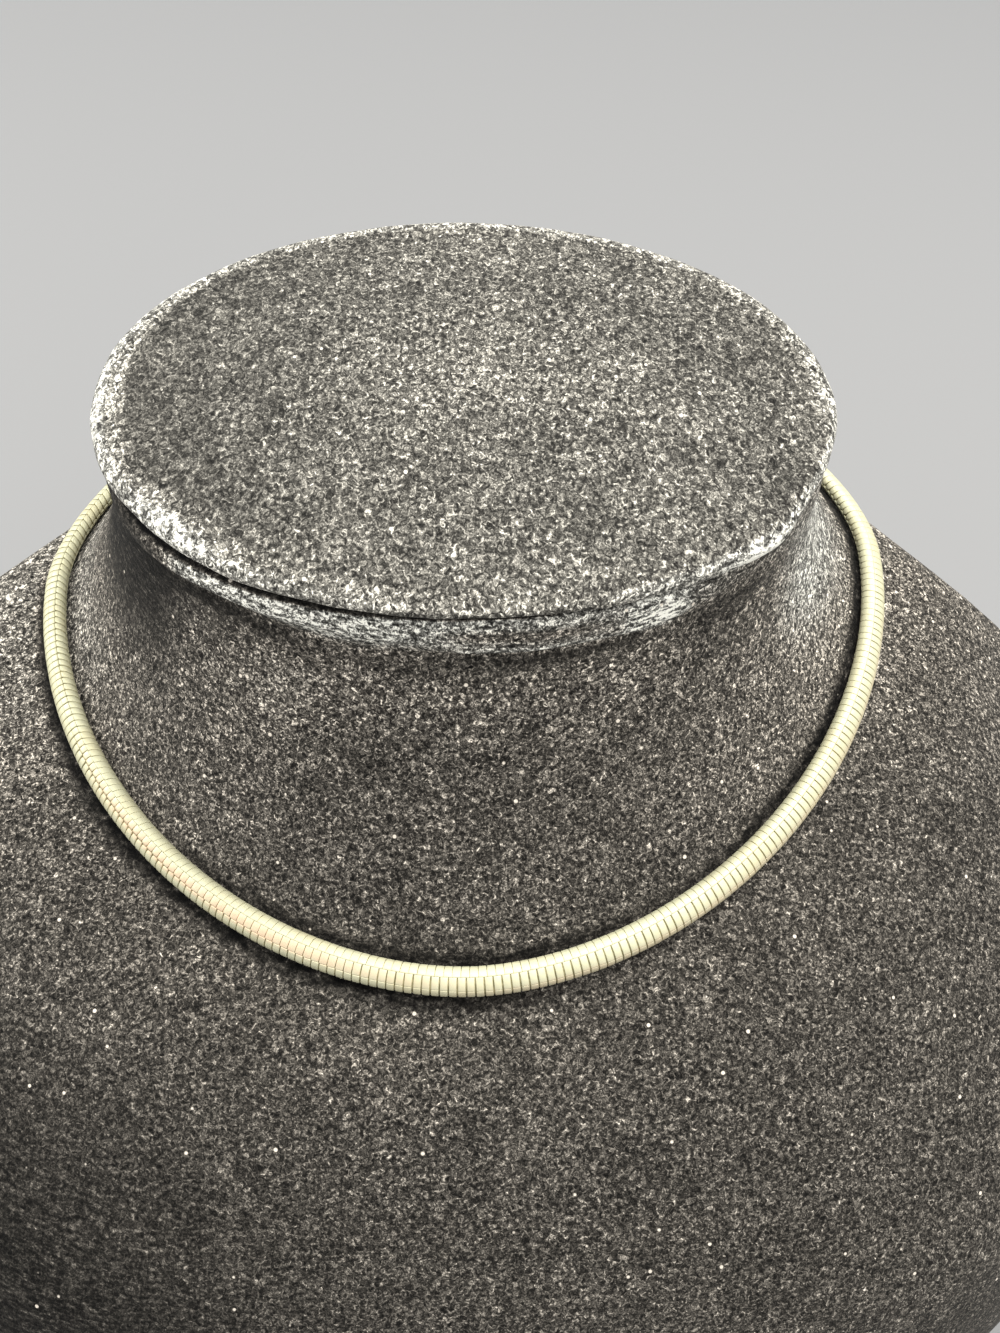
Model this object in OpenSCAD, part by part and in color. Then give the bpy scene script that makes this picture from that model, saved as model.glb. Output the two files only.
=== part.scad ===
// Herringbone choker lying on a velvet neck bust.
// The foot of the bust stands on z = 0 and its chest faces -y.

/* [Bust] */
// Width of the chest at its widest
chest_w = 222; // [200:1:240]
// How far the chest reaches forward of the neck's axis
chest_front = 109; // [100:1:118]
// How far the back reaches behind the neck's axis
chest_back = 54; // [52:1:60]
// Height of the chain's line on the neck
collar_z = 125; // [115:1:140]
// Width of the neck along the chain's line
collar_w = 125.6; // [118:0.2:134]
// Reach of that line forward of the neck's axis
collar_front = 68.8; // [62:0.2:74]
// Reach of that line behind the neck's axis
collar_back = 48.8; // [46:0.2:52]
// Forward slope of the chain's line
collar_tilt = 7.4; // [4:0.1:10]
// Sideways slope of the chain's line, higher on the +x side
collar_side_tilt = 2.8; // [0:0.1:4]

/* [Neck cap] */
// Width of the neck just below its rolled rim
neck_w = 100; // [94:1:106]
// Depth of the neck just below its rolled rim
neck_d = 82; // [76:1:88]
// Height of the neck above the chain's line
neck_h = 30; // [26:1:34]
// Thickness of the rolled velvet rim
roll_h = 3.8; // [3:0.1:4.6]
// Thickness of the cap at its edge
cap_edge_h = 3.6; // [3:0.1:5]
// Rise of the cap from its edge to its middle
cap_rise = 1.6; // [0.8:0.1:3]

/* [Chain] */
// Width of the herringbone band
chain_w = 4.0; // [3.4:0.1:5]
// Height of the domed face over the band's edges
chain_dome = 1.5; // [1.1:0.05:1.9]
// Depth of the flatter back under the band's edges
chain_back = 1.1; // [0.8:0.05:1.4]
// Length of each soldered end cap
end_cap_l = 3.2; // [2.4:0.1:5]

/* [Clasp] */
// Length of the clasp between the two end caps
clasp_l = 12; // [10:0.5:16]
// Width of the clasp at its middle
clasp_w = 4.4; // [4:0.1:5.4]
// Thickness of the clasp at its middle
clasp_t = 2.6; // [2.2:0.1:3.2]

/* [Hidden] */

velvet = "#3b3a39";
gold = "#e3d5a3";

// Clearance between the chain and the velvet, and at the clasp's two ends
seat_gap = 0.2;
// Clearance under the neck cap
cap_gap = 0.2;

bust_sides = 72;
chain_rings = 116;
chain_sides = 14;
clasp_rings = 10;
steps_per_section = 4;
roll_steps = 8;

half_chest = chest_w / 2;
half_collar = collar_w / 2;
neck_top_z = collar_z + neck_h;
roll_r = roll_h / 2;
cap_z = neck_top_z + roll_h + cap_gap;

// Places of the columns in each row of the tables below
Z = 0;
MIDDLE = 1;
HALF = 2;
FRONT = 3;
BACK = 4;
FRONT_POWER = 5;
BACK_POWER = 6;
TILT = 7;
SIDE_TILT = 8;

// Cross-sections of the bust from its foot up to the neck's top, each a rounded outline:
// height, middle y, half width, front reach, back reach, front power, back power, tilt, side tilt
SECTIONS = [
    [0, 0, 0.955 * half_chest, 0.92 * chest_front, 0.96 * chest_back, 3.1, 1.7, 0, 0],
    [0.22 * collar_z, 0, 0.99 * half_chest, 0.97 * chest_front, chest_back, 3.1, 1.6, 0, 0],
    [0.45 * collar_z, 0, half_chest, chest_front, chest_back, 3.0, 1.5, 0, 0],
    [0.66 * collar_z, 0, 0.965 * half_chest, 0.97 * chest_front, 0.98 * chest_back,
     2.8, 1.35, 2, 0],
    [0.825 * collar_z, 0, 0.865 * half_chest, 0.865 * chest_front, 0.94 * chest_back,
     2.5, 1.25, 4, 0],
    [0.944 * collar_z, 0, 0.72 * half_chest, 0.745 * chest_front, 0.91 * chest_back,
     2.2, 1.3, 6, 0.35 * collar_side_tilt],
    [collar_z, 0, half_collar, collar_front, collar_back,
     1.86, 1.75, collar_tilt, collar_side_tilt],
    [collar_z + neck_h / 3, -1, 0.55 * neck_w, 0.66 * neck_d, 0.55 * neck_d,
     1.9, 1.9, 5, 0.5 * collar_side_tilt],
    [collar_z + 2 * neck_h / 3, -1.6, 0.512 * neck_w, 0.555 * neck_d, 0.512 * neck_d,
     1.97, 2, 2, 0],
    [neck_top_z, -2, neck_w / 2, neck_d / 2, neck_d / 2, 2, 2, 0, 0],
];
COLLAR_LEVEL = 6;
TOP_LEVEL = len(SECTIONS) - 1;

// Edge of the neck cap from its underside to its middle: height, growth beyond the neck's outline
CAP_EDGE = [
    [0, -0.2],
    [0.25 * cap_edge_h, 1.6],
    [0.5 * cap_edge_h, 2],
    [0.8 * cap_edge_h, 1.5],
    [cap_edge_h, -0.4],
    [cap_edge_h + 0.35 * cap_rise, -6],
    [cap_edge_h + 0.75 * cap_rise, -18],
    [cap_edge_h + cap_rise, -36],
];

function unit(v) = v / norm(v);

// One smooth step between rows b and c, with a and d as their neighbours
function blend(a, b, c, d, u) =
    let (tb = (c - a) / 2, tc = (d - b) / 2, uu = u * u, uuu = uu * u)
    (2 * uuu - 3 * uu + 1) * b + (uuu - 2 * uu + u) * tb + (3 * uu - 2 * uuu) * c + (uuu - uu) * tc;

// The cross-section at any level, where whole numbers are the table's rows
function section_at(level) =
    let (i = min(floor(level), TOP_LEVEL - 1), u = level - i)
    let (a = SECTIONS[max(i - 1, 0)], d = SECTIONS[min(i + 2, TOP_LEVEL)])
    blend(a, SECTIONS[i], SECTIONS[i + 1], d, u);

// Distance from the axis to a rounded outline, where angle 0 is the front and 90 is +x
function outline_reach(row, angle) =
    let (front = cos(angle) > 0)
    let (power = front ? row[FRONT_POWER] : row[BACK_POWER], reach = front ? row[FRONT] : row[BACK])
    pow(pow(abs(sin(angle)) / row[HALF], power) + pow(abs(cos(angle)) / reach, power), -1 / power);

function outline_point(row, angle) =
    let (r = outline_reach(row, angle), x = r * sin(angle), y = -r * cos(angle))
    [x, row[MIDDLE] + y * cos(row[TILT]), row[Z] + y * sin(row[TILT]) + x * tan(row[SIDE_TILT])];

function outline(row) = [for (i = [0 : bust_sides - 1]) outline_point(row, 360 * i / bust_sides)];

// The same section grown outwards and moved to another height
function grown(row, z, growth) =
    [z, row[MIDDLE], row[HALF] + growth, row[FRONT] + growth, row[BACK] + growth,
     row[FRONT_POWER], row[BACK_POWER], 0, 0];

// A closed solid through rings of equal length, with a flat face at each end
module skin(rings) {
    sides = len(rings[0]);
    last = len(rings) - 1;
    walls = [for (r = [0 : last - 1], i = [0 : sides - 1])
        let (j = (i + 1) % sides, a = r * sides, b = a + sides)
        each [[a + i, b + i, b + j], [a + i, b + j, a + j]]];
    foot = [[for (i = [0 : sides - 1]) i]];
    top = [[for (i = [sides - 1 : -1 : 0]) last * sides + i]];
    polyhedron([for (ring = rings) each ring], concat(walls, foot, top), convexity = 6);
}

// The chain's line on the velvet at an angle round the neck, or a part of a level above it
function seat_point(angle, up = 0) = outline_point(section_at(COLLAR_LEVEL + up), angle);

// Along, up and out directions of the band at an angle round the neck
function along(angle) = unit(seat_point(angle + 0.5) - seat_point(angle - 0.5));
function out(angle) = unit(cross(along(angle), seat_point(angle, 0.1) - seat_point(angle, -0.1)));
function up(angle) = cross(out(angle), along(angle));

// One ring of a band with a domed face and a flatter back, standing clear of the velvet
function band_ring(angle, width, dome, back, sides) =
    let (middle = seat_point(angle) + out(angle) * (seat_gap + chain_back))
    [for (k = [0 : sides - 1])
        let (a = 360 * (k + 0.5) / sides, s = sin(a))
        middle + up(angle) * (width / 2) * cos(a)
            + out(angle) * sign(s) * pow(abs(s), 0.85) * (s > 0 ? dome : back)];

// Angles round the neck that the clasp and the end caps take, half on each side of the back
back_r = norm(seat_point(180) - [0, 0, seat_point(180)[2]]);
clasp_half = (clasp_l / 2) / (back_r + chain_back) * 180 / PI;
gap_angle = seat_gap / back_r * 180 / PI;
end_cap_angle = end_cap_l / back_r * 180 / PI;
chain_start = 180 + clasp_half + gap_angle;
chain_stop = 540 - clasp_half - gap_angle;

// An end cap is a little larger than the band that it holds
function end_growth(angle) =
    min(angle - chain_start, chain_stop - angle) < end_cap_angle ? 1.14 : 1;
cap_lip = 0.12;
chain_angles = concat(
    [chain_start, chain_start + end_cap_angle - cap_lip],
    [for (i = [0 : chain_rings - 1])
        chain_start + end_cap_angle
            + (chain_stop - chain_start - 2 * end_cap_angle) * i / (chain_rings - 1)],
    [chain_stop - end_cap_angle + cap_lip, chain_stop]);

// Neck, shoulders and chest of the velvet bust with the rolled rim round the neck's top
module bust_body() {
    body = [for (i = [0 : TOP_LEVEL * steps_per_section])
        outline(section_at(i / steps_per_section))];
    roll = [for (i = [0 : roll_steps])
        let (a = -75 + 150 * i / roll_steps)
        outline(grown(SECTIONS[TOP_LEVEL], neck_top_z + roll_r * (1 + sin(a)), roll_r * cos(a)))];
    color(velvet) skin(concat(body, roll));
}

// Velvet-covered oval that closes the top of the neck
module neck_cap() {
    color(velvet)
        skin([for (edge = CAP_EDGE)
            outline(grown(SECTIONS[TOP_LEVEL], cap_z + edge[0], edge[1]))]);
}

// The herringbone band with its two soldered end caps
module chain() {
    color(gold)
        skin([for (a = chain_angles)
            let (g = end_growth(a))
            band_ring(a, chain_w * g, chain_dome * g, chain_back, chain_sides)]);
}

// Plain clasp that joins the end caps at the back of the neck
module clasp() {
    color(gold)
        skin([for (i = [0 : clasp_rings])
            let (s = 2 * i / clasp_rings - 1, swell = 0.62 + 0.38 * pow(cos(90 * s), 0.5))
            band_ring(180 + s * clasp_half, clasp_w * swell,
                      (clasp_t - chain_back) * swell, chain_back * swell, chain_sides)]);
}

bust_body();
neck_cap();
chain();
clasp();
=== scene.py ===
import math
import random

import bmesh
import bpy
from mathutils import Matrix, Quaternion, Vector


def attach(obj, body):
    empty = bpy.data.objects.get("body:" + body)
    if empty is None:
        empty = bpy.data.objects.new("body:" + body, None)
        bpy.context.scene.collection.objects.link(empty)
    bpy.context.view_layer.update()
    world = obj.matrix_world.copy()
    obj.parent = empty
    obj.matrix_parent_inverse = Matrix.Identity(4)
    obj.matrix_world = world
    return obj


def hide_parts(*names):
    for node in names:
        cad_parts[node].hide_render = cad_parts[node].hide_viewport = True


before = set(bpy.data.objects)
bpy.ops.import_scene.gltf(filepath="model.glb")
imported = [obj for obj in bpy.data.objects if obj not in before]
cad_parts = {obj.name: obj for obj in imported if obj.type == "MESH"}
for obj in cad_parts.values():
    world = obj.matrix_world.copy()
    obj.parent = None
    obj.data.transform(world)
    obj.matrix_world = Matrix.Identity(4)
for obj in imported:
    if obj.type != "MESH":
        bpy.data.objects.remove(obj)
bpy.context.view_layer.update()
mm = 0.001
print("frame loaded")


# Shader helpers: sockets that can be added and multiplied like numbers

class Wire:
    def __init__(self, paint, socket):
        self.paint = paint
        self.socket = socket

    def math(self, operation, first, second):
        node = self.paint.node("ShaderNodeMath", {"operation": operation}, {0: first, 1: second})
        return self.paint.out(node, 0)

    def __add__(self, other):
        return self.math("ADD", self, other)

    def __radd__(self, other):
        return self.math("ADD", other, self)

    def __sub__(self, other):
        return self.math("SUBTRACT", self, other)

    def __rsub__(self, other):
        return self.math("SUBTRACT", other, self)

    def __mul__(self, other):
        return self.math("MULTIPLY", self, other)

    def __rmul__(self, other):
        return self.math("MULTIPLY", other, self)


class Paint:
    # one material with a Principled shader, whose fixed values come first
    def __init__(self, name, finish):
        self.material = bpy.data.materials.new(name)
        self.material.use_nodes = True
        self.tree = self.material.node_tree
        self.shader = self.tree.nodes["Principled BSDF"]
        for socket, value in finish.items():
            self.shader.inputs[socket].default_value = value

    def node(self, kind, settings=None, sockets=None):
        # any node: its type, its settings, then the values or links of its sockets
        node = self.tree.nodes.new(kind)
        for name, value in (settings or {}).items():
            setattr(node, name, value)
        for name, value in (sockets or {}).items():
            self.feed(node.inputs[name], value)
        return node

    def feed(self, socket, value):
        if isinstance(value, Wire):
            self.tree.links.new(value.socket, socket)
        else:
            socket.default_value = value

    def out(self, node, name):
        return Wire(self, node.outputs[name])

    def coords(self, stretch=(1, 1, 1)):
        place = self.out(self.node("ShaderNodeTexCoord"), "Object")
        moved = self.node("ShaderNodeMapping", None, {"Vector": place, "Scale": stretch})
        return self.out(moved, "Vector")

    def attribute(self, name):
        return self.out(self.node("ShaderNodeAttribute", {"attribute_name": name}), "Fac")

    def noise(self, where, scale, detail, rough, distort=0.0):
        return self.out(self.node("ShaderNodeTexNoise", None, {
            "Vector": where, "Scale": scale, "Detail": detail, "Roughness": rough,
            "Distortion": distort}), "Fac")

    def ramp(self, value, low, high):
        # 0 below low, 1 above high, smooth between
        return self.out(self.node("ShaderNodeMapRange", {"interpolation_type": "SMOOTHSTEP"}, {
            "Value": value, "From Min": low, "From Max": high}), "Result")

    def grow(self, value):
        # the exponential, for tones that run from near black to bright tips
        return self.out(self.node("ShaderNodeMath", {"operation": "EXPONENT"}, {0: value}), 0)

    def mix(self, factor, first, second):
        node = self.node("ShaderNodeMix", {"data_type": "RGBA"}, {0: factor, 6: first, 7: second})
        return self.out(node, 2)

    def bump(self, height, distance, strength):
        return self.out(self.node("ShaderNodeBump", None, {
            "Height": height, "Distance": distance, "Strength": strength}), "Normal")

    def set(self, socket, value):
        self.feed(self.shader.inputs[socket], value)


# Mesh helpers

def smoothStep(value, low, high):
    t = min(max((value - low) / (high - low), 0), 1)
    return t * t * (3 - 2 * t)


def loft(bm, sides, steps, place, napAndLight=None):
    # a circle, extruded step by step; place(step, side) gives each corner's spot and the last function
    # its pile tone, painted light and shade included
    layer = bm.verts.layers.float.new("napAndLight") if napAndLight else None
    ring = bmesh.ops.create_circle(bm, segments=sides, radius=1)["verts"]
    sideOf = {}
    for side, vert in enumerate(ring):
        vert.co = place(0, side)
        if napAndLight:
            vert[layer] = napAndLight(0, side)
        sideOf[vert] = side
    bmesh.ops.contextual_create(bm, geom=ring)
    edges = [e for e in bm.edges if e.verts[0] in sideOf and e.verts[1] in sideOf]
    for step in range(1, steps + 1):
        grown = bmesh.ops.extrude_edge_only(bm, edges=edges)["geom"]
        fresh = [g for g in grown if isinstance(g, bmesh.types.BMVert)]
        freshSide = {}
        for vert in fresh:
            for edge in vert.link_edges:
                old = edge.other_vert(vert)
                if old in sideOf:
                    freshSide[vert] = sideOf[old]
        for vert, side in freshSide.items():
            vert.co = place(step, side)
            if napAndLight:
                vert[layer] = napAndLight(step, side)
        sideOf = freshSide
        edges = [e for e in grown if isinstance(e, bmesh.types.BMEdge)
                 and e.verts[0] in sideOf and e.verts[1] in sideOf]
    bmesh.ops.contextual_create(bm, geom=list(sideOf))


def finishPiece(bm, name, paint, replaced, keepShading=False):
    # all smooth, unless the faces already say which of them are
    bmesh.ops.recalc_face_normals(bm, faces=bm.faces)
    if not keepShading:
        for face in bm.faces:
            face.smooth = True
    mesh = bpy.data.meshes.new(name)
    bm.to_mesh(mesh)
    bm.free()
    mesh.materials.append(paint.material)
    piece = bpy.data.objects.new(name, mesh)
    bpy.context.scene.collection.objects.link(piece)
    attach(piece, "root")
    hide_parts(replaced)
    return piece


# The form of the neck, with the same sizes as the solid

bust = {
    "chestWidth": 222 * mm, "chestFront": 109 * mm, "chestBack": 54 * mm,
    "collarHeight": 125 * mm, "collarWidth": 125.6 * mm,
    "collarFront": 68.8 * mm, "collarBack": 48.8 * mm,
    "collarTilt": 7.4, "collarSideTilt": 2.8,  # degrees
    "neckWidth": 100 * mm, "neckDepth": 82 * mm, "neckHeight": 30 * mm,
}


def neckSections():
    # height, middle y, half width, front reach, back reach, front power, back power, tilt, side tilt
    half, front, back = bust["chestWidth"] / 2, bust["chestFront"], bust["chestBack"]
    collar, tall = bust["collarHeight"], bust["neckHeight"]
    wide, deep = bust["neckWidth"], bust["neckDepth"]
    side = bust["collarSideTilt"]
    return [
        (0, 0, 0.955 * half, 0.92 * front, 0.96 * back, 3.1, 1.7, 0, 0),
        (0.22 * collar, 0, 0.99 * half, 0.97 * front, back, 3.1, 1.6, 0, 0),
        (0.45 * collar, 0, half, front, back, 3.0, 1.5, 0, 0),
        (0.66 * collar, 0, 0.965 * half, 0.97 * front, 0.98 * back, 2.8, 1.35, 2, 0),
        (0.825 * collar, 0, 0.865 * half, 0.865 * front, 0.94 * back, 2.5, 1.25, 4, 0),
        (0.944 * collar, 0, 0.72 * half, 0.745 * front, 0.91 * back, 2.2, 1.3, 6, 0.35 * side),
        (collar, 0, bust["collarWidth"] / 2, bust["collarFront"], bust["collarBack"],
         1.86, 1.75, bust["collarTilt"], side),
        (collar + tall / 3, -1 * mm, 0.55 * wide, 0.66 * deep, 0.55 * deep, 1.9, 1.9, 5, 0.5 * side),
        (collar + 2 * tall / 3, -1.6 * mm, 0.512 * wide, 0.555 * deep, 0.512 * deep, 1.97, 2, 2, 0),
        (collar + tall, -2 * mm, wide / 2, deep / 2, deep / 2, 2, 2, 0, 0),
    ]


sections = neckSections()
collarLevel = 6  # the row that the chain lies on
topLevel = len(sections) - 1


def sectionAt(level):
    # the same smooth steps between the rows as the solid has
    i = min(int(level), topLevel - 1)
    u = level - i
    a, b = sections[max(i - 1, 0)], sections[i]
    c, d = sections[i + 1], sections[min(i + 2, topLevel)]
    return [(2 * u**3 - 3 * u**2 + 1) * b[k] + (u**3 - 2 * u**2 + u) * (c[k] - a[k]) / 2
            + (3 * u**2 - 2 * u**3) * c[k] + (u**3 - u**2) * (d[k] - b[k]) / 2
            for k in range(len(b))]


def outlinePoint(row, angle, grow=0.0):
    # the row's outline at an angle in degrees, 0 at the front and 90 at +x, made grow larger
    height, middle, half, front, back, frontPower, backPower, tilt, sideTilt = row
    turn = math.radians(angle)
    s, c = math.sin(turn), math.cos(turn)
    power, reach = (frontPower, front) if c > 0 else (backPower, back)
    r = ((abs(s) / (half + grow)) ** power + (abs(c) / (reach + grow)) ** power) ** (-1 / power)
    x, y = r * s, -r * c
    lean = math.radians(tilt)
    return Vector((x, middle + y * math.cos(lean),
                   height + y * math.sin(lean) + x * math.tan(math.radians(sideTilt))))


def frontAngle(angle):
    # degrees from the front, minus to the left of it
    return (angle + 180) % 360 - 180


def slopeAt(stops, i):
    # how steep the curve is at a stop: level at peaks, hollows and both ends
    if i == 0 or i == len(stops) - 1:
        return 0.0
    before, here, after = stops[i - 1:i + 2]
    first = (here[1] - before[1]) / (here[0] - before[0])
    second = (after[1] - here[1]) / (after[0] - here[0])
    return 2 * first * second / (first + second) if first * second > 0 else 0.0


def between(angle, stops):
    # a smooth curve through (degrees from the front, value) pairs, level before and after them
    around = frontAngle(angle)
    if around <= stops[0][0] or around >= stops[-1][0]:
        return stops[0][1] if around <= stops[0][0] else stops[-1][1]
    i = max(k for k, stop in enumerate(stops) if stop[0] <= around)
    (low, first), (high, second) = stops[i], stops[i + 1]
    span = high - low
    u = (around - low) / span
    return ((2 * u**3 - 3 * u**2 + 1) * first + (u**3 - 2 * u**2 + u) * span * slopeAt(stops, i)
            + (3 * u**2 - 2 * u**3) * second + (u**3 - u**2) * span * slopeAt(stops, i + 1))


def ripple(angle, waves):
    # a sum of slow waves round the neck: (how many, how high, where it starts)
    return sum(high * math.sin(math.radians(count * angle + start)) for count, high, start in waves)


# Velvet

velvetLook = {
    "root": (0.0, 0.0, 0.0, 1), "brushedAndLitTip": (0.92, 0.895, 0.79, 1), "brushedAndLitFrom": (0.4, 1.6),
    "rough": 0.95, "shine": 0.1, "sheen": 0.05, "sheenRough": 0.4, "sheenTint": (0.95, 0.92, 0.85, 1),
    "fibres": 4800, "fibreShare": 0.2,
    "clumps": 420, "clumpy": 1.6, "patches": 60,
    "streaks": 0.6, "streakStretch": (0.5, 0.5, 2.2),
    # how much paler the pile gets with lifted nap and painted light, and how much rougher it looks than
    # pile that is pressed and shaded
    "napLift": 0.85, "ruffle": 0.4, "ruffleFrom": (-1.4, 0.6), "ruffleEven": 0.8,
    # pale specks where the pile's tips catch the light: painted glints
    "tipGlint": 210, "tipGlintSize": 0.07, "tipGlintShow": 0.7,
    "relief": 0.3 * mm, "reliefStrength": 0.8,
}
velvetTune = {
    "bust": {"tip": (0.925, 0.83, 0.69, 1), "level": 0.052, "contrast": 16.0, "tufts": 1700,
             "curl": 0.9, "streaky": 4.2, "patchy": 0.8, "stretch": (1, 1, 1)},
    "cap": {"tip": (0.92, 0.865, 0.735, 1), "level": 0.073, "contrast": 13.9, "tufts": 1450,
            "curl": 1.0, "streaky": 3.0, "patchy": 1.0, "stretch": (1, 0.72, 1)},
}


def velvetPaint(name, tune):
    # near black at the roots of the pile and pale at its tips, paler where the nap is brushed up and
    # where light is painted, darker where shade is painted
    look = velvetLook
    paint = Paint(name, {
        "Roughness": look["rough"], "Specular IOR Level": look["shine"],
        "Sheen Weight": look["sheen"], "Sheen Roughness": look["sheenRough"],
        "Sheen Tint": look["sheenTint"]})
    where = paint.coords(tune["stretch"])
    napAndLight = paint.attribute("napAndLight")
    tufts = paint.noise(where, tune["tufts"], 3, 0.7, tune["curl"])
    fibres = paint.noise(where, look["fibres"], 1, 0.5)
    streakSize = tune["tufts"] * look["streaks"]
    streaks = paint.noise(paint.coords(look["streakStretch"]), streakSize, 2, 0.5)
    clumps = paint.noise(where, look["clumps"], 3, 0.6)
    patches = paint.noise(where, look["patches"], 2, 0.5)
    pile = tufts * (1 - look["fibreShare"]) + fibres * look["fibreShare"]
    brushedLightAndShade = napAndLight * (1 + tune["streaky"] * (streaks - 0.5))
    wide = (clumps - 0.5) * look["clumpy"] + (patches - 0.5) * tune["patchy"]
    ruffled = 1 + look["ruffle"] * (paint.ramp(napAndLight, *look["ruffleFrom"]) - look["ruffleEven"])
    grain = (pile - 0.5) * tune["contrast"] * ruffled
    tone = paint.grow(grain + brushedLightAndShade * look["napLift"] + wide)
    tone = tone * tune["level"]
    # paler, whiter tips where the pile is brushed up and where a highlight is painted
    tip = paint.mix(paint.ramp(napAndLight, *look["brushedAndLitFrom"]), tune["tip"], look["brushedAndLitTip"])
    colour = paint.mix(tone, look["root"], tip)
    # painted glints: pale specks of the pile's tips
    toTipGlint = paint.out(paint.node("ShaderNodeTexVoronoi", None, {
        "Vector": where, "Scale": look["tipGlint"]}), "Distance")
    tipGlint = paint.ramp(toTipGlint, look["tipGlintSize"], look["tipGlintSize"] * 0.6) * look["tipGlintShow"]
    paint.set("Base Color", paint.mix(tipGlint, colour, tune["tip"]))
    paint.set("Normal", paint.bump(pile, look["relief"], look["reliefStrength"]))
    return paint


# How the rolled rim and the cap's edge change round the neck. Each list gives pairs: degrees from the
# front, minus to the left of it, and a height or size in mm

rim = {
    # where the cap's edge starts, and the open gap under it
    "crease": [(-180, 158.8), (-70, 158.3), (-42, 158.6), (-25, 159.3), (-8, 159.8), (12, 160.0),
               (30, 159.6), (46, 158.8), (180, 158.8)],
    "parted": [(-180, 0.15), (-80, 0.15), (-62, 0.6), (-34, 0.6), (-12, 0.35), (8, 0.2), (26, 0.15),
               (180, 0.15)],
    # the roll's lower edge, how far it stands out, and how far up it that is most, from 0 to 1
    "foot": [(-180, 154), (-95, 153), (-63, 152.6), (-48, 153.9), (-36, 153.4), (-18, 152.9),
             (-2, 153.4), (30, 153.8), (40, 152.5), (55, 148.5), (90, 148.5), (120, 152), (180, 154)],
    "fat": [(-180, 1.9), (-125, 1.7), (-92, 0.8), (-66, 1.7), (-48, 1.9), (-22, 1.3), (0, 1.4),
            (30, 1.5), (48, 1.0), (80, 1.0), (120, 1.9), (180, 1.9)],
    "peak": [(-180, 0.5), (-20, 0.5), (2, 0.2), (30, 0.2), (50, 0.8), (90, 0.8), (180, 0.5)],
    # 1 where roll and cap close on each other, 0 where they part
    "closed": [(-180, 0), (4, 0), (26, 1), (80, 1), (115, 0), (180, 0)],
    # the power that rounds the roll's top, and how much more of it there is where that is closed
    "topPower": 2.2, "closedPower": 12,
    # how far the cap's edge stands out
    "overhang": [(-180, 2.0), (-10, 1.9), (30, 1.7), (43, 2.0), (53, 2.9), (60, 2.2), (68, 1.5),
                 (90, 1.8), (180, 2.0)],
    # the unevenness of both
    "waves": [(5, 0.08, 40), (11, 0.07, 10), (23, 0.05, 200), (41, 0.03, 80)],
}

# How the pile is painted, by degrees from the front: above 0 it is paler and below 0 darker. Part of
# this is the pile lifted and pressed, much of it is painted light and shade

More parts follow.
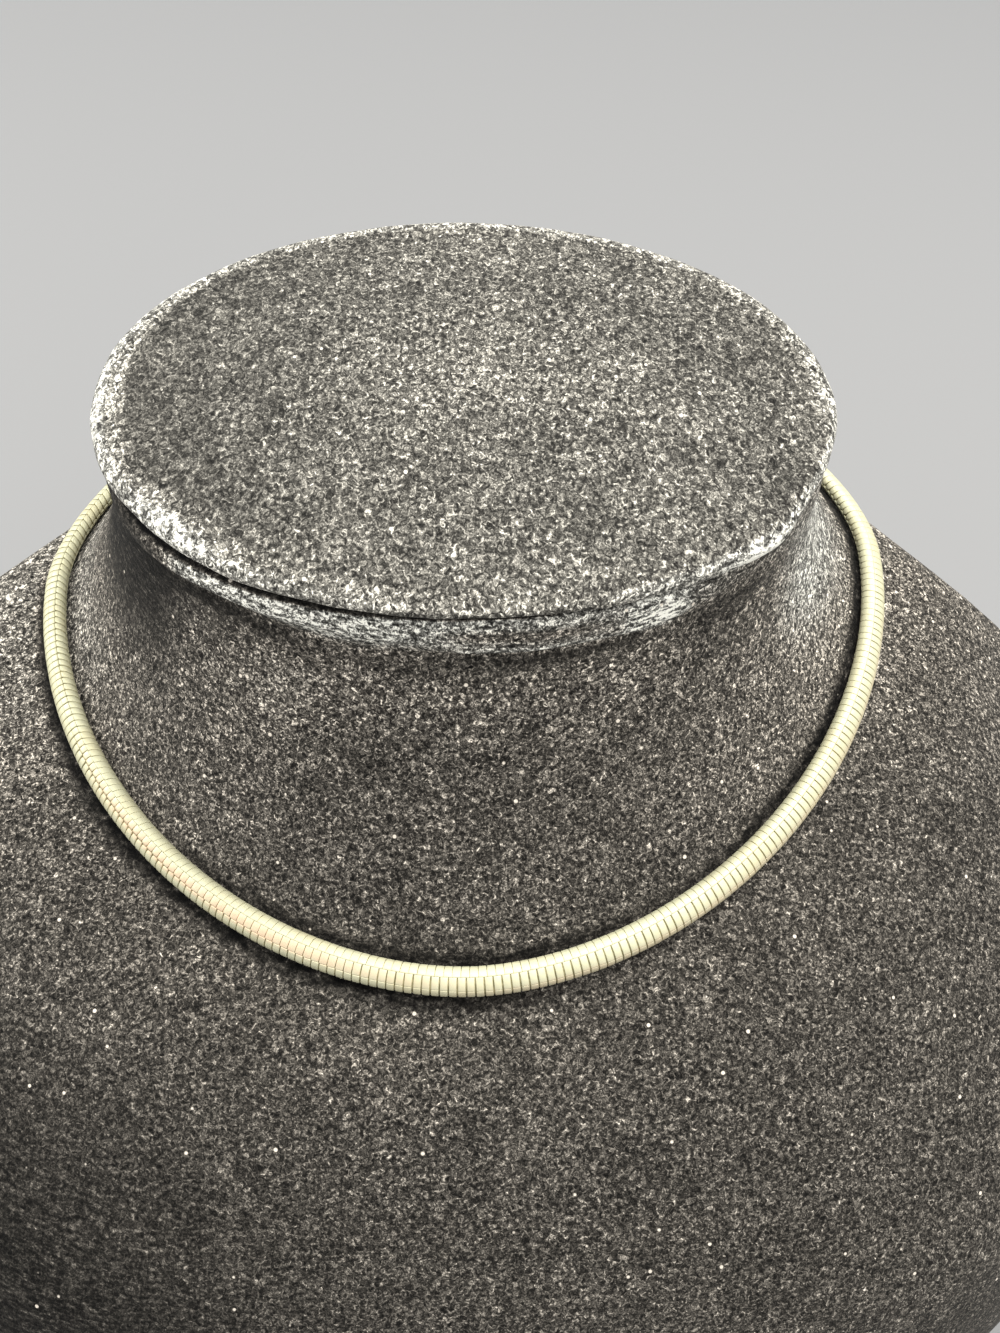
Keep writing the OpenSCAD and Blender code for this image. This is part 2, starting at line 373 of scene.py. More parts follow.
pileLieAndLight = {
    # painted shade in the crease: how dark and wide it is, and how dark it is inside
    "creaseDark": [(-180, 0.3), (-80, 0.5), (-60, 1.25), (-30, 1.2), (-12, 0.75), (6, 0.45), (20, 0),
                   (95, 0), (130, 0.3), (180, 0.3)],
    "creaseShade": 4,
    # on the roll, partly brushed pile and partly painted light and shade, and painted shade under the
    # roll; their places are in roll heights up from the roll's foot
    "roll": [(-180, 0.4), (-80, -0.3), (-64, 0), (-50, 1.6), (-25, 2.3), (-5, 1.3),
             (35, 1.0), (60, 0.6), (100, 0.4), (180, 0.4)],
    "shadeUnderRoll": [(-180, 0.3), (-90, 0.3), (-60, 1.2), (-40, 0.9), (-24, 0.25), (-8, 0.35),
                  (8, 0.45), (24, 0.2), (42, 0), (100, 0), (180, 0.3)],
    "rollFrom": (-0.25, 0.55), "shadeUnderRollAt": (-0.3, 0.3), "bodyUpTo": (-1, 0),
    # a painted highlight on the cap's rim, where the pile also stands out: how far inward that goes in
    # mm, and how much stronger it is on the side
    "cap": [(-180, 0.9), (-125, 0.9), (-90, 1.0), (-68, 0.65), (-56, 0.8), (-42, 0.5),
            (-20, 0.5), (15, 0.5), (32, 1.2), (60, 1.2), (85, 1.2), (120, 0.9), (180, 0.9)],
    "capReach": [(-180, 0.45), (-125, 0.9), (-90, 2.6), (-68, 2.2), (-57, 3.3), (-46, 2.0),
                 (-34, 1.3), (20, 0.5), (60, 0.25), (80, 0.6), (90, 1.2), (120, 0.7), (180, 0.45)],
    "capSide": [(-180, 1), (-125, 1.5), (-85, 2.1), (-45, 2.2), (-20, 1.7), (10, 1), (180, 1)],
    # 1 where only the corner of the rim has the painted highlight, and the painted light on the side
    # below that corner
    "cornerOnly": [(-180, 0), (0, 0.2), (26, 1), (70, 1), (90, 0.3), (180, 0)],
    "belowCorner": [(14, 0), (30, 1.0), (70, 1.0), (90, 0.3), (110, 0)],
    # painted shade and light on the cap's top beside its rim, and painted light at its middle
    "deck": [(-180, 0.1), (-90, -0.5), (-45, -0.2), (0, 0), (60, -0.1), (120, 0), (180, 0.1)],
    "deckMiddle": 0.3,
    # brushed pile, painted shadows and painted highlights: degrees from the front, half their spread,
    # height, half their height, amount
    "brushedLightAndShade": [(14, 17, 154.3, 0.9, 1.3), (8, 13, 157.2, 0.8, -0.9), (18, 16, 152.2, 0.8, -0.8),
                (32, 5, 156.0, 2.8, 2.7), (46, 3, 160.3, 1.0, 1.5), (50.5, 3.5, 160.2, 1.4, 1.9),
                (55, 3, 159.8, 1.2, 1.6), (-54, 8, 162.6, 1.0, 0.5),
                (-79, 22, 144, 11, -1.3), (-74, 15, 147, 7, -1.2), (-42, 18, 142, 8, 0.4),
                (-105, 50, 149, 9, -0.9), (52, 10, 152.0, 2.0, -1.0),
                (82, 24, 144, 11, 1.45), (0, 38, 148, 6, 0.5)],
    # painted shadow beside the chain, above its line and below it, and how far off in mm that is
    "shadowAbove": [(-180, 0.8), (-110, 0), (-48, 0), (-30, 1.4), (-12, 2.0), (8, 2.2), (25, 0.8),
                   (42, 2.2), (60, 3.4), (110, 3.8), (180, 0.8)],
    "shadowBelow": [(-180, 0.8), (-110, 2.2), (-90, 3.6), (-72, 4.6), (-48, 4.6), (-33, 3.2), (-18, 2.8),
                   (-2, 1.6), (16, 0), (110, 0), (180, 0.8)],
    "shadowAboveAt": (2.1, 0.9), "shadowBelowAt": (2.6, 1.15),
    # painted light and shade over the shoulders, chest and neck, and the heights where each begins
    "shoulder": [(-180, 0.4), (-140, 0.6), (-95, 0.9), (-75, 0.8), (-50, 0), (55, 0), (90, 0.3),
                 (180, 0.4)],
    "chest": [(-180, 0), (-75, -0.06), (-45, 0.0), (-20, -0.22), (40, -0.27), (70, -0.14), (100, 0),
              (180, 0)],
    "neck": [(-180, 0.2), (-70, 0.1), (-35, 0.1), (-15, -0.05), (25, -0.05), (55, 0.2), (180, 0.2)],
    "shoulderFrom": (85 * mm, 112 * mm), "neckFrom": (118 * mm, 128 * mm),
    # the lower left darker, painted shade: its strength, and where it begins and ends round the chest
    # and up it
    "lowLeft": 2.0, "lowLeftFrom": (5, 45), "lowLeftTo": (50, 130), "lowLeftTop": (78 * mm, 118 * mm),
}


def brushedNapAndLight(angle, height):
    # brushed pile with painted shadows and highlights, each a soft patch
    total = 0.0
    for centre, spread, level, tall, amount in pileLieAndLight["brushedLightAndShade"]:
        across = frontAngle(angle - centre) / spread
        off = (height / mm - level) / tall
        total += amount * math.exp(-across ** 4 - off ** 2)
    return total


def bodyNapAndLight(angle, height):
    # the pile of chest, shoulders and neck with its painted light and shade, away from the chain and the
    # roll
    lieAndLight = pileLieAndLight
    leftward = -frontAngle(angle)
    total = between(angle, lieAndLight["shoulder"]) * smoothStep(height, *lieAndLight["shoulderFrom"])
    # the lower left darker, painted shade
    lowLeft = smoothStep(leftward, *lieAndLight["lowLeftFrom"]) * (1 - smoothStep(leftward, *lieAndLight["lowLeftTo"]))
    total -= lieAndLight["lowLeft"] * lowLeft * (1 - smoothStep(height, *lieAndLight["lowLeftTop"]))
    onNeck = smoothStep(height, *lieAndLight["neckFrom"])
    total += between(angle, lieAndLight["neck"]) * onNeck
    return total + between(angle, lieAndLight["chest"]) * (1 - onNeck)


def chainShadow(angle, spot):
    # how much painted shadow lies beside the chain
    off = spot - outlinePoint(sections[collarLevel], angle)
    side = "shadowAbove" if off.z > 0 else "shadowBelow"
    away, spread = pileLieAndLight[side + "At"]
    return between(angle, pileLieAndLight[side]) * math.exp(-((off.length / mm - away) / spread) ** 2)


def rollPlace(angle, height):
    # how far up the roll a height is, from 0 at its foot to 1 at the crease
    foot, crease = between(angle, rim["foot"]) * mm, between(angle, rim["crease"]) * mm
    return (height - foot) / (crease - foot)


def rollBulge(angle, height):
    # how far the roll stands out at a height
    up = rollPlace(angle, height)
    fat = (between(angle, rim["fat"]) + ripple(angle, rim["waves"])) * mm
    peak = between(angle, rim["peak"])
    if up < peak:
        return fat * smoothStep(up, 0, peak)
    power = rim["topPower"] + rim["closedPower"] * between(angle, rim["closed"])
    return fat * max(0, 1 - ((up - peak) / (1 - peak)) ** power) ** 0.5


bustMesh = {
    "around": 240, "perSection": 14, "neckSteps": 30, "rollSteps": 20, "underSteps": 4,
    "rollCrowd": 1.6, "underReach": 3 * mm,
}


def makeBust():
    part = bustMesh
    top = sections[topLevel]
    bodySteps = (topLevel - 1) * part["perSection"]
    neckSteps = bodySteps + part["neckSteps"]
    rollSteps = neckSteps + part["rollSteps"]

    def place(step, side):
        angle = 360 * side / part["around"]
        if step <= neckSteps:
            level = step / part["perSection"]
            if step > bodySteps:
                level = topLevel - 1 + (step - bodySteps) / part["neckSteps"]
            row = sectionAt(level)
            plain = outlinePoint(row, angle)
            if level <= collarLevel + 1:
                return plain
            return outlinePoint(row, angle, rollBulge(angle, plain.z))
        crease = between(angle, rim["crease"]) * mm
        if step <= rollSteps:
            u = (step - neckSteps) / part["rollSteps"]
            height = top[0] + (crease - top[0]) * (1 - (1 - u) ** part["rollCrowd"])
            return outlinePoint((height,) + tuple(top[1:]), angle, rollBulge(angle, height))
        inward = (step - rollSteps) / part["underSteps"]
        return outlinePoint((crease,) + tuple(top[1:]), angle, -part["underReach"] * inward)

    def napAndLight(step, side):
        lieAndLight = pileLieAndLight
        angle = 360 * side / part["around"]
        # the part tucked under the cap's edge is all painted shade
        if step > rollSteps:
            return -lieAndLight["creaseShade"]
        spot = place(step, side)
        up = rollPlace(angle, spot.z)
        # painted shadow beside the chain, with the body's painted light and shade
        onBody = bodyNapAndLight(angle, spot.z) - chainShadow(angle, spot)
        onBody *= 1 - smoothStep(up, *lieAndLight["bodyUpTo"])
        # the roll's pile, partly painted light and shade
        onRoll = between(angle, lieAndLight["roll"]) * smoothStep(up, *lieAndLight["rollFrom"]) * (0.8 + 0.4 * up)
        # painted shade under the roll
        under, spread = lieAndLight["shadeUnderRollAt"]
        shadeUnderRoll = between(angle, lieAndLight["shadeUnderRoll"]) * math.exp(-((up - under) / spread) ** 2)
        # painted shade in the crease
        dark = between(angle, lieAndLight["creaseDark"])  # a darker crease also reaches further
        inCrease = smoothStep(up, 0.99 - 0.10 * dark, 1.0 - 0.04 * dark) * min(1, 3 * dark)
        return (onBody + onRoll + brushedNapAndLight(angle, spot.z) - shadeUnderRoll
                - lieAndLight["creaseShade"] * inCrease)

    bm = bmesh.new()
    loft(bm, part["around"], rollSteps + part["underSteps"], place, napAndLight)
    paint = velvetPaint("bustVelvet", velvetTune["bust"])
    finishPiece(bm, "velvetBust", paint, "bust_body")


neckCap = {
    "top": 162.6 * mm, "rise": 1.6 * mm, "inset": 0.9 * mm, "tuck": 1.6 * mm, "middleHole": 1.2 * mm,
    "around": 240, "edgeSteps": 18, "deckSteps": 26, "deckCrowd": 1.8,
    # the powers that round the edge above its middle, below it, and how much less where it is closed
    "upperRound": 0.8, "lowerRound": 0.9, "closedRound": 0.5, "crownRound": 2.2,
    "deckWaves": [(2, 0.10, 70), (5, 0.06, 20), (9, 0.04, 140)],
}


def makeNeckCap():
    part = neckCap
    top = sections[topLevel]
    reach = bust["neckDepth"] / 2 - part["middleHole"]

    def inwardAt(step):
        return ((step - part["edgeSteps"]) / part["deckSteps"]) ** part["deckCrowd"]

    def place(step, side):
        angle = 360 * side / part["around"]
        closed = between(angle, rim["closed"])
        base = (between(angle, rim["crease"]) + between(angle, rim["parted"])) * mm
        if step <= part["edgeSteps"]:
            half = (part["top"] - base) / 2
            turn = math.radians(-90 + 180 * step / part["edgeSteps"])
            start, power = -part["inset"], part["upperRound"]
            if turn < 0:
                start -= part["tuck"] * (1 - closed)
                power = part["lowerRound"] - part["closedRound"] * closed
            overhang = (between(angle, rim["overhang"]) + ripple(angle + 50, rim["waves"])) * mm
            grow = start + (overhang - start) * max(math.cos(turn), 0) ** power
            height = base + half + half * math.sin(turn)
            return outlinePoint((height,) + tuple(top[1:]), angle, grow)
        inward = inwardAt(step)
        crown = part["rise"] * (1 - (1 - inward) ** part["crownRound"])
        crown += ripple(angle, part["deckWaves"]) * mm * math.sin(math.pi * inward) ** 2
        row = (part["top"] + crown,) + tuple(top[1:])
        return outlinePoint(row, angle, -part["inset"] - reach * inward)

    def napAndLight(step, side):
        # a painted highlight round the rim, most at the left, where the pile also stands out
        lieAndLight = pileLieAndLight
        angle = 360 * side / part["around"]
        amount = between(angle, lieAndLight["cap"])
        corner = between(angle, lieAndLight["cornerOnly"])
        if step > part["edgeSteps"]:
            far = between(angle, lieAndLight["capReach"]) * mm
            inward = inwardAt(step)
            deck = between(angle, lieAndLight["deck"]) * (1 - inward)
            deck += lieAndLight["deckMiddle"] * smoothStep(inward, 0.2, 1)
            atRim = 1 - smoothStep(reach * inward, 0, far)
            return amount * (1 - corner) * atRim + deck * (1 - atRim)
        up = step / part["edgeSteps"]
        # painted shade in the crease under the cap's edge
        dark = between(angle, lieAndLight["creaseDark"])
        inCrease = (1 - smoothStep(up, 0.08 + 0.10 * dark, 0.12 + 0.14 * dark)) * min(1, 3 * dark)
        # the painted highlight stronger on the side, and painted light below the corner
        amount *= 1 + (between(angle, lieAndLight["capSide"]) - 1) * (1 - smoothStep(up, 0.8, 1))
        below, above = 1 - smoothStep(up, 0.48, 0.60), smoothStep(up, 0.74, 0.86)
        return (amount * (1 - corner * (below + above)) + between(angle, lieAndLight["belowCorner"]) * below
                - lieAndLight["creaseShade"] * inCrease + brushedNapAndLight(angle, place(step, side).z))

    bm = bmesh.new()
    loft(bm, part["around"], part["edgeSteps"] + part["deckSteps"], place, napAndLight)
    paint = velvetPaint("capVelvetPile", velvetTune["cap"])
    finishPiece(bm, "capVelvet", paint, "neck_cap")


print("velvet bust and cap")
makeBust()
makeNeckCap()


# The chain: short links in three columns over its face and one along its back

chain = {
    "width": 4.0 * mm, "dome": 1.5 * mm, "back": 1.1 * mm, "seatGap": 0.2 * mm,
    "pitch": 1.16 * mm, "linkDepth": 0.42 * mm, "linkRound": 0.06 * mm, "linkCuts": 5,
    # a closed and an open seam in degrees, and how an open one dips and rounds the links' corners
    "seamGap": (0.1, 1.5), "seamDip": 0.035 * mm, "cornerRound": 0.25, "cornerShort": 7,
    # how far single links are out of line
    "slip": 0.015 * mm, "lift": 0.01 * mm, "tilt": 0.025, "seed": 11,
    # the core's colours are painted shade for the gaps, mottled from deep to paler
    "core": {"sides": 14, "steps": 240, "depth": 0.18 * mm, "metal": 0.7, "rough": 0.6, "shadeMottle": 900,
             "deepShade": (0.20, 0.18, 0.09, 1), "paleShade": (0.44, 0.39, 0.22, 1)},
    "endCap": 3.2 * mm, "clasp": 12 * mm, "rough": 0.58,
}

# where the columns meet round the band, in degrees over its face, and how open each seam is
weave = {
    "innerEdge": [(0, -14)], "outerEdge": [(0, 186)], "backStart": [(0, 192)], "backEnd": [(0, 342)],
    "upperSeam": [(-110, 50), (-90, 52), (-75, 60), (-55, 66), (0, 69)],
    "lowerSeam": [(-85, 88), (-60, 96), (-45, 102), (-28, 108), (-8, 120), (14, 131)],
    "innerOpen": [(-110, 1), (-68, 0.8), (-52, 0.2), (0, 0.1), (80, 0.3), (96, 1)],
    "upperOpen": [(-100, 0.5), (-78, 0.8), (-66, 0.3), (-56, 0)],
    "lowerOpen": [(-66, 0), (-58, 0.9), (-46, 1), (-34, 0.4), (-12, 0.1), (10, 0)],
    "outerOpen": [(-110, 1), (-72, 0.8), (-55, 0.5), (0, 0.5), (30, 0.2), (60, 0)],
    "backOpen": [(0, 1)],
    # how rosy the metal looks, a painted reflection of warm surroundings: on the crown between two
    # fades over the face, and past a third fade at the outer edge
    "rosy": [(-66, 0), (-48, 0.8), (-25, 1), (-8, 0.4), (8, 0)],
    "rosyEdge": [(-12, 0), (8, 0.5), (70, 0.4), (88, 0)],
    "rosyFrom": (68, 88), "rosyTo": (108, 126), "rosyEdgeFrom": (110, 132),
}

# each column of links: its seams, the gaps between links in mm at a link's start, middle and
# end, its slant in mm and its shift in pitches, all by place round the neck
linkColumns = {
    "linksInner": {
        "from": "innerEdge", "to": "upperSeam", "fromOpen": "innerOpen", "toOpen": "upperOpen",
        "gaps": ([(-110, 0.42), (-72, 0.38), (-56, 0.22), (0, 0.15), (75, 0.10), (96, 0.40)],
                 [(-110, 0.22), (-72, 0.20), (-55, 0.10), (0, 0.10), (40, 0.12), (85, 0.10)],
                 [(-110, 0.14), (-75, 0.13), (-58, 0.05), (0, 0.0)]),
        "slant": [(-110, 0.9), (-70, 0.8), (-45, 0.5), (-15, 0.2), (10, 0)],
        "shift": [(-90, 0.25), (-40, 0.5), (0, 0.4), (45, 0.05)]},
    "linksCrown": {
        "from": "upperSeam", "to": "lowerSeam", "fromOpen": "upperOpen", "toOpen": "lowerOpen",
        "gaps": ([(-80, 0.08), (-66, 0.14), (-50, 0.08), (-20, 0.08), (-6, 0.14), (8, 0.16), (40, 0.16),
                  (80, 0.15), (92, 0.02)],
                 [(-80, 0.12), (-66, 0.17), (-52, 0.08), (-20, 0.06), (-6, 0.18), (35, 0.18), (80, 0.14),
                  (92, 0.02)],
                 [(-80, 0.12), (-66, 0.18), (-52, 0.13), (-20, 0.07), (-6, 0.18), (35, 0.14), (80, 0.05),
                  (92, 0.0)]),
        "slant": [(0, 0)], "shift": [(0, 0)]},
    "linksOuter": {
        "from": "lowerSeam", "to": "outerEdge", "fromOpen": "lowerOpen", "toOpen": "outerOpen",
        "gaps": ([(-80, 0.10), (-60, 0.15), (-25, 0.14), (8, 0.18), (35, 0.14), (80, 0.04)],
                 [(-80, 0.14), (-60, 0.14), (-25, 0.19), (8, 0.17), (35, 0.04), (80, 0.0)],
                 [(-80, 0.34), (-60, 0.22), (-25, 0.30), (0, 0.22), (35, 0.08), (80, 0.0)]),
        "slant": [(0, 0)], "shift": [(-64, 0), (-57, 0.3), (-30, 0.25), (-5, 0)]},
    "linksBack": {
        "from": "backStart", "to": "backEnd", "fromOpen": "backOpen", "toOpen": "backOpen",
        "gaps": ([(0, 0.2)], [(0, 0.16)], [(0, 0.2)]), "slant": [(0, 0)], "shift": [(0, 0.5)]},
}


def seatPoint(angle, up=0.0):
    return outlinePoint(sectionAt(collarLevel + up), angle % 360)


def bandFrame(angle):
    # the band's middle, and its directions along, out from the velvet and down across
    along = (seatPoint(angle + 0.5) - seatPoint(angle - 0.5)).normalized()
    out = along.cross(seatPoint(angle, 0.1) - seatPoint(angle, -0.1)).normalized()
    spot = seatPoint(angle) + out * (chain["seatGap"] + chain["back"])
    return spot, along, out, along.cross(out)


def bandPoint(seat, arc, width, dome, back, depth=0.0, ahead=0.0):
    # arc goes round the band: 0 at its inner edge, 90 on its crown, 180 at its outer edge
    spot, along, out, down = seat
    turn = math.radians(arc)
    c, s = math.cos(turn), math.sin(turn)
    high = dome if s > 0 else back
    x, z = -width / 2 * c, math.copysign(abs(s) ** 0.85, s) * high
    normal = Vector((-c / (width / 2), s / high)).normalized()
    return spot + down * (x + normal.x * depth) + out * (z + normal.y * depth) + along * ahead


def pathTable(start, stop, count=1440):
    # angle and length along the band's middle, from one end to the other
    rows, length, last = [], 0.0, None
    for i in range(count + 1):
        angle = start + (stop - start) * i / count
        spot = bandFrame(angle)[0]
        length += (spot - last).length if last else 0.0
        rows.append((length, angle))
        last = spot
    return rows


def angleAt(rows, length):
    # the angle at a length along the band, from that table
    low, high = 0, len(rows) - 1
    while high - low > 1:
        middle = (low + high) // 2
        if rows[middle][0] <= length:
            low = middle
        else:
            high = middle
    span = rows[high][0] - rows[low][0]
    return rows[low][1] + (rows[high][1] - rows[low][1]) * (length - rows[low][0]) / span


def linkMesh():
    # one link: a bar with rounded upper edges, its corners crowded towards its two ends
    part = chain
    bm = bmesh.new()
    bmesh.ops.create_cube(bm, size=1)
    bmesh.ops.scale(bm, vec=(1, part["pitch"], part["linkDepth"]), verts=bm.verts)
    bmesh.ops.translate(bm, vec=(0.5, 0, -part["linkDepth"] / 2), verts=bm.verts)
    lengthwise = [e for e in bm.edges if abs(e.verts[0].co.x - e.verts[1].co.x) > 0.5]
    bmesh.ops.subdivide_edges(bm, edges=lengthwise, cuts=part["linkCuts"])
    upper = [e for e in bm.edges if all(v.co.z > -1e-6 for v in e.verts)
             and abs(e.verts[0].co.y - e.verts[1].co.y) < 1e-9]
    bmesh.ops.bevel(bm, geom=upper, offset=part["linkRound"], segments=2, profile=0.5,
                    affect="EDGES", material=-1)
    for vert in bm.verts:
        vert.co.x = 0.5 - 0.5 * math.cos(math.pi * vert.co.x)
    for face in bm.faces:
        face.smooth = face.normal.z > -0.5 and abs(face.normal.x) < 0.9
    mesh = bpy.data.meshes.new("link")
    bm.to_mesh(mesh)
    bm.free()
    return mesh


def linkWidth(u, gaps, open0, open1):
    # a link's width in pitches at u, from its three gaps and its rounded ends
    gap = gaps[0] * (1 - u) * (1 - 2 * u) + 4 * gaps[1] * u * (1 - u) + gaps[2] * u * (2 * u - 1)
    short = chain["cornerShort"]
    corners = open0 * (1 - min(1, short * u) ** 0.5) + open1 * (1 - min(1, short * (1 - u)) ** 0.5)
    return 1 - max(gap, 0) * mm / chain["pitch"] - chain["cornerRound"] * corners


def weaveColumn(name, column, link, path, paint):
    # a column of links all along the band, each one bent over the band's dome
    part = chain
    total = path[-1][0]
    woven = total - 2 * part["endCap"]
    count = round(woven / part["pitch"])
    pitch = woven / count
    tight, loose = part["seamGap"]
    chance = random.Random(part["seed"])
    bm = bmesh.new()
    rosy = bm.verts.layers.float.new("rosy")
    for i in range(count):
        angle = angleAt(path, part["endCap"] + pitch * (i + 0.5))
        spotAlong = part["endCap"] + pitch * (i + 0.5 + between(angle, column["shift"]))
        if spotAlong > total - part["endCap"]:
            continue
        seat = bandFrame(angleAt(path, spotAlong))
        open0, open1 = between(angle, weave[column["fromOpen"]]), between(angle, weave[column["toOpen"]])
        start = between(angle, weave[column["from"]]) + tight + (loose - tight) * open0
        stop = between(angle, weave[column["to"]]) - tight - (loose - tight) * open1
        gaps = [between(angle, stops) for stops in column["gaps"]]
        slope = between(angle, column["slant"]) * mm
        warm, warmEdge = between(angle, weave["rosy"]), between(angle, weave["rosyEdge"])
        slip = chance.uniform(-1, 1) * part["slip"]
        tilt = chance.uniform(-1, 1) * part["tilt"]
        lift = chance.uniform(-1, 1) * part["lift"]
        first = len(bm.verts)
        bm.from_mesh(link)
        bm.verts.ensure_lookup_table()
        for vert in bm.verts[first:]:
            u, y, z = vert.co
            y *= linkWidth(u, gaps, open0, open1)
            ahead = y + slip + slope * (0.5 - u)
            dip = part["seamDip"] * (open0 * (1 - u) ** 8 + open1 * u ** 8)
            arc = start + (stop - start) * u
            vert.co = bandPoint(seat, arc, part["width"], part["dome"], part["back"],
                                z + lift + tilt * y - dip, ahead)
            # where the painted rosy reflection lies
            onCrown = smoothStep(arc, *weave["rosyFrom"]) * (1 - smoothStep(arc, *weave["rosyTo"]))
            vert[rosy] = warm * onCrown + warmEdge * smoothStep(arc, *weave["rosyEdgeFrom"])
    piece = finishPiece(bm, name, paint, "chain", keepShading=True)
    even = piece.modifiers.new("evenTops", "WEIGHTED_NORMAL")
    even.mode = "FACE_AREA"
    even.weight = 50


# rosy is the colour of a painted warm reflection, broken into patches by the noise after the clouds
goldLook = {
    "bright": (0.57, 0.553, 0.378, 1), "warm": (0.565, 0.528, 0.345, 1), "rosy": (0.62, 0.475, 0.32, 1),
    "metal": 0.5, "shine": 0.1, "clouds": 160, "reflectionPatches": 900,
    "scuffs": 1400, "scuffRough": 0.14, "grain": 2600, "relief": 0.02 * mm, "reliefStrength": 0.5,
}


def goldPaint(name, rough):
    look = goldLook
    paint = Paint(name, {
        "Metallic": look["metal"], "Roughness": rough, "Specular IOR Level": look["shine"]})
    where = paint.coords()
    cloud = paint.noise(where, look["clouds"], 2, 0.5, 0.3)
    colour = paint.mix(paint.ramp(cloud, 0.4, 0.75), look["bright"], look["warm"])
    # a painted rosy reflection, broken into patches
    rosyReflection = paint.attribute("rosy") * paint.ramp(paint.noise(where, look["reflectionPatches"], 2, 0.6), 0.1, 0.6)
    paint.set("Base Color", paint.mix(rosyReflection, colour, look["rosy"]))
    scuff = paint.noise(where, look["scuffs"], 3, 0.6)
    paint.set("Roughness", rough + look["scuffRough"] * paint.ramp(scuff, 0.4, 0.8))
    grain = paint.noise(where, look["grain"], 2, 0.5)
    paint.set("Normal", paint.bump(grain, look["relief"], look["reliefStrength"]))
    return paint


# where the clasp ends and the band begins, in degrees round the neck

backReach = (seatPoint(180) - Vector((0, 0, seatPoint(180).z))).length
claspHalf = math.degrees(chain["clasp"] / 2 / (backReach + chain["back"]))
gapAngle = math.degrees(chain["seatGap"] / backReach)
chainStart = 180 + claspHalf + gapAngle
chainStop = 540 - claspHalf - gapAngle


def makeLinks(path):
    link = linkMesh()
    gold = goldPaint("chainGold", chain["rough"])
    for name, column in linkColumns.items():
        weaveColumn(name, column, link, path, gold)
    bpy.data.meshes.remove(link)


def makeCore(path):
    # the folded metal inside, a core that closes the gaps between the links, painted dark as the shade
    # in them
    part, core = chain, chain["core"]
    total = path[-1][0]

    def place(step, side):
        angle = angleAt(path, part["endCap"] * 0.5 + (total - part["endCap"]) * step / core["steps"])
        return bandPoint(bandFrame(angle), 360 * (side + 0.5) / core["sides"], part["width"],
                         part["dome"], part["back"], -core["depth"])

    bm = bmesh.new()
    loft(bm, core["sides"], core["steps"], place)
    paint = Paint("chainInside", {"Metallic": core["metal"], "Roughness": core["rough"]})
    # painted shade, mottled
    shadeMottle = paint.ramp(paint.noise(paint.coords(), core["shadeMottle"], 3, 0.6), 0.35, 0.7)
    paint.set("Base Color", paint.mix(shadeMottle, core["deepShade"], core["paleShade"]))
    finishPiece(bm, "chainCore", paint, "chain")


# End caps and clasp. Sizes without a unit are shares of the band's or the clasp's own section

endCap = {
    "sides": 28, "steps": 10, "body": 1.08, "lip": 1.14, "lipFrom": 0.82, "mouth": 0.35, "flare": 6,
    "rough": 0.22,
}


def makeEndCaps(path):
    part = chain
    total = path[-1][0]
    bm = bmesh.new()
    for end in (0, 1):
        def place(step, side):
            u = step / endCap["steps"]
            gone = part["endCap"] * u
            angle = angleAt(path, gone if end == 0 else total - gone)
            full = endCap["lip"] if u > endCap["lipFrom"] else endCap["body"]
            size = full * math.sin(math.pi / 2 * min(1, endCap["mouth"] + endCap["flare"] * u)) ** 0.5
            return bandPoint(bandFrame(angle), 360 * (side + 0.5) / endCap["sides"],
                             part["width"] * size, part["dome"] * size, part["back"] * min(1.0, size))
        loft(bm, endCap["sides"], endCap["steps"], place)
    finishPiece(bm, "endCaps", goldPaint("endCapGold", endCap["rough"]), "chain")


clasp = {"width": 4.4 * mm, "thick": 2.6 * mm, "ends": 0.62, "sides": 28, "steps": 28, "rough": 0.2}


def makeClasp():
    part = clasp
    back = chain["back"]

    def place(step, side):
        s = 2 * step / part["steps"] - 1
        swell = part["ends"]
        if abs(s) < 1:
            swell += (1 - part["ends"]) * math.cos(math.pi / 2 * s) ** 0.5
        return bandPoint(bandFrame(180 + s * claspHalf), 360 * (side + 0.5) / part["sides"],
                         part["width"] * swell, (part["thick"] - back) * swell, back * swell)

    bm = bmesh.new()
    loft(bm, part["sides"], part["steps"], place)
    finishPiece(bm, "claspBar", goldPaint("claspGold", part["rough"]), "clasp")


chainPath = pathTable(chainStart, chainStop)
print("chain links,", round(chainPath[-1][0] / mm, 1), "mm of band")
makeLinks(chainPath)
makeCore(chainPath)
print("end caps and clasp")
makeEndCaps(chainPath)
makeClasp()


# Floor, lights and camera

stageLook = {
    "floorSize": 6.0, "floorColour": (0.22, 0.219, 0.215, 1), "floorRough": 0.9,
    "skyColour": (0.93, 0.95, 1.0, 1), "skyLight": 0.98,
}


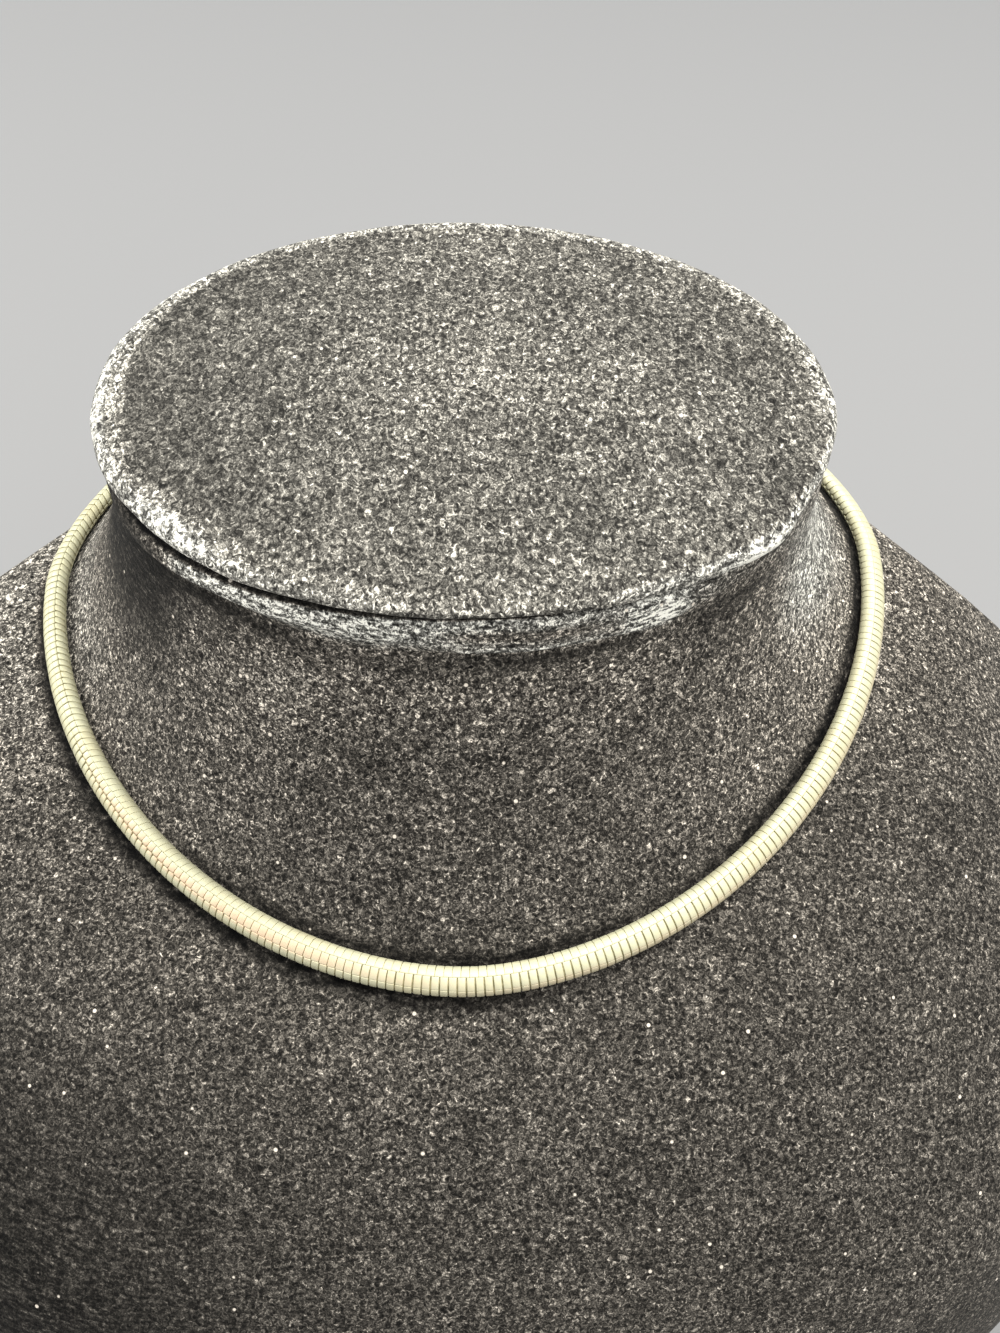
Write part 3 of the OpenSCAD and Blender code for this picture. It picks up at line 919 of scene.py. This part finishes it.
def makeStage():
    bm = bmesh.new()
    bmesh.ops.create_grid(bm, x_segments=1, y_segments=1, size=stageLook["floorSize"] / 2)
    mesh = bpy.data.meshes.new("floor")
    bm.to_mesh(mesh)
    bm.free()
    floor = bpy.data.objects.new("floor", mesh)
    bpy.context.scene.collection.objects.link(floor)
    paint = Paint("floorPaper", {
        "Roughness": stageLook["floorRough"], "Base Color": stageLook["floorColour"]})
    mesh.materials.append(paint.material)
    world = bpy.data.worlds.new("softRoom")
    world.use_nodes = True
    background = world.node_tree.nodes["Background"]
    background.inputs["Color"].default_value = stageLook["skyColour"]
    background.inputs["Strength"].default_value = stageLook["skyLight"]
    bpy.context.scene.world = world
    bpy.context.scene.view_settings.view_transform = "Standard"


lightAim = (0, -20 * mm, 130 * mm)
lights = {
    "key": {"spot": (0.42, 0.24, 0.92), "size": 0.30, "watts": 8.5, "colour": (1.0, 0.985, 0.95)},
    "top": {"spot": (0.14, -0.30, 1.02), "size": 0.8, "watts": 8, "colour": (1.0, 0.985, 0.95)},
    "front": {"spot": (0.55, -1.00, 0.65), "size": 0.9, "watts": 2.0, "colour": (1.0, 0.97, 0.92)},
    "left": {"spot": (-0.85, 0.30, 0.55), "size": 0.5, "watts": 9, "colour": (1.0, 0.99, 0.96)},
}


def makeLights():
    for name, look in lights.items():
        lamp = bpy.data.lights.new(name, "AREA")
        lamp.shape = "DISK"
        lamp.size = look["size"]
        lamp.energy = look["watts"]
        lamp.color = look["colour"]
        light = bpy.data.objects.new(name, lamp)
        light.location = look["spot"]
        aim = Vector(lightAim) - Vector(look["spot"])
        light.rotation_euler = aim.to_track_quat("-Z", "Y").to_euler()
        bpy.context.scene.collection.objects.link(light)


cameraLook = {
    "spot": (-6.24 * mm, -179.47 * mm, 302.41 * mm),
    "heading": 4.01, "downward": 48.0, "roll": 2.46,  # degrees
    "lens": 43.2, "sensor": 36,  # mm
    "clipStart": 10 * mm,
}


def makeCamera():
    look = cameraLook
    turn, down = math.radians(look["heading"]), math.radians(look["downward"])
    ahead = Vector((math.sin(turn) * math.cos(down), math.cos(turn) * math.cos(down), -math.sin(down)))
    lens = bpy.data.cameras.new("camera")
    lens.lens = look["lens"]
    lens.sensor_width = look["sensor"]
    lens.clip_start = look["clipStart"]
    camera = bpy.data.objects.new("camera", lens)
    camera.location = look["spot"]
    rolled = ahead.to_track_quat("-Z", "Y") @ Quaternion((0, 0, 1), math.radians(look["roll"]))
    camera.rotation_euler = rolled.to_euler()
    bpy.context.scene.collection.objects.link(camera)
    bpy.context.scene.camera = camera


makeStage()
makeLights()
makeCamera()
print("stage, lights and camera")
